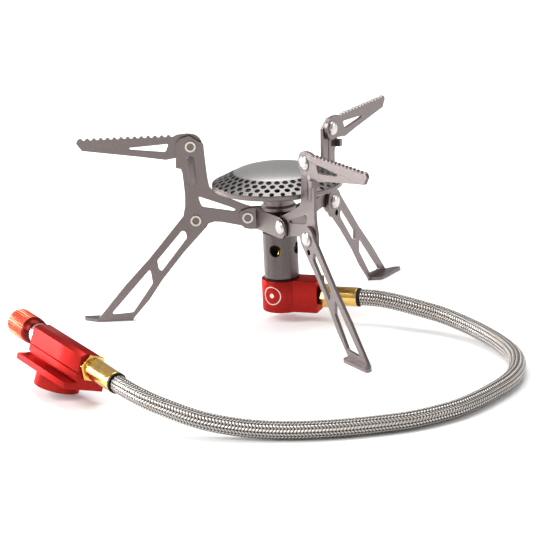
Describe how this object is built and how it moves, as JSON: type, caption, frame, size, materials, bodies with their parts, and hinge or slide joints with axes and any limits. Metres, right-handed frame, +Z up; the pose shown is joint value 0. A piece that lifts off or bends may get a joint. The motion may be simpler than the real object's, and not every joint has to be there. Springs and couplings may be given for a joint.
{
  "type": "canister stove",
  "caption": "Remote-canister camping stove: round perforated burner on folding legs with serrated pot supports, braided hose and a screw-on canister valve with a control knob.",
  "frame": {"origin": "on the burner axis at floor level", "axes": "+Z up along the burner column; one leg points along -X, the others at -60 and +60 degrees from +X"},
  "size_m": [0.2237, 0.2475, 0.0876],
  "materials": {
    "red": "satin anodised",
    "titanium": "satin titanium grey",
    "steel": "satin",
    "brass": "machined",
    "rubber": "matt",
    "braid": "woven stainless braid"
  },
  "bodies": {
    "stove": {"base": "red", "seal_ring": "rubber", "column": "titanium", "jet": "brass", "burner_bowl": "titanium", "burner_cap": "titanium", "collar": "steel", "arm_rivet_left": "steel", "arm_rivet_front": "steel", "arm_rivet_rear": "steel", "port_seal": "rubber", "port_fitting": "brass", "port_end_ring": "rubber", "hose": "braid", "valve_end_ring": "rubber", "valve_fitting": "brass", "valve_body": "red", "valve_gland": "steel"},
    "knob": {"valve_knob": "red"},
    "arm_left": {"arm_left": "titanium", "leg_rivet_left": "steel", "support_rivet_left": "steel"},
    "leg_left": {"leg_left": "titanium"},
    "support_left": {"support_left": "titanium"},
    "arm_front": {"arm_front": "titanium", "leg_rivet_front": "steel", "support_rivet_front": "steel"},
    "leg_front": {"leg_front": "titanium"},
    "support_front": {"support_front": "titanium"},
    "arm_rear": {"arm_rear": "titanium", "leg_rivet_rear": "steel", "support_rivet_rear": "steel"},
    "leg_rear": {"leg_rear": "titanium"},
    "support_rear": {"support_rear": "titanium"}
  },
  "joints": [
    {"name": "arm_fold_left", "type": "hinge", "parent": "stove", "child": "arm_left", "pos_m": [-0.0144, 0, 0.0478], "axis": [0, -1, 0], "range_deg": [0, 25]},
    {"name": "leg_fold_left", "type": "hinge", "parent": "arm_left", "child": "leg_left", "pos_m": [-0.0383, 0, 0.0471], "axis": [0, -1, 0], "range_deg": [0, 40]},
    {"name": "support_fold_left", "type": "hinge", "parent": "arm_left", "child": "support_left", "pos_m": [-0.039, 0, 0.082], "axis": [0, 1, 0], "range_deg": [0, 90]},
    {"name": "arm_fold_front", "type": "hinge", "parent": "stove", "child": "arm_front", "pos_m": [0.0072, -0.01247, 0.0478], "axis": [0.866, 0.5, 0], "range_deg": [0, 25]},
    {"name": "leg_fold_front", "type": "hinge", "parent": "arm_front", "child": "leg_front", "pos_m": [0.01915, -0.03317, 0.0471], "axis": [0.866, 0.5, 0], "range_deg": [0, 40]},
    {"name": "support_fold_front", "type": "hinge", "parent": "arm_front", "child": "support_front", "pos_m": [0.0195, -0.03377, 0.082], "axis": [-0.866, -0.5, 0], "range_deg": [0, 90]},
    {"name": "arm_fold_rear", "type": "hinge", "parent": "stove", "child": "arm_rear", "pos_m": [0.0072, 0.01247, 0.0478], "axis": [-0.866, 0.5, 0], "range_deg": [0, 25]},
    {"name": "leg_fold_rear", "type": "hinge", "parent": "arm_rear", "child": "leg_rear", "pos_m": [0.01915, 0.03317, 0.0471], "axis": [-0.866, 0.5, 0], "range_deg": [0, 40]},
    {"name": "support_fold_rear", "type": "hinge", "parent": "arm_rear", "child": "support_rear", "pos_m": [0.0195, 0.03377, 0.082], "axis": [0.866, -0.5, 0], "range_deg": [0, 90]},
    {"name": "knob_turn", "type": "hinge", "parent": "stove", "child": "knob", "pos_m": [-0.10124, -0.08087, 0.01956], "axis": [0.5338, -0.8428, -0.0692], "range_deg": [0, 540]}
  ]
}
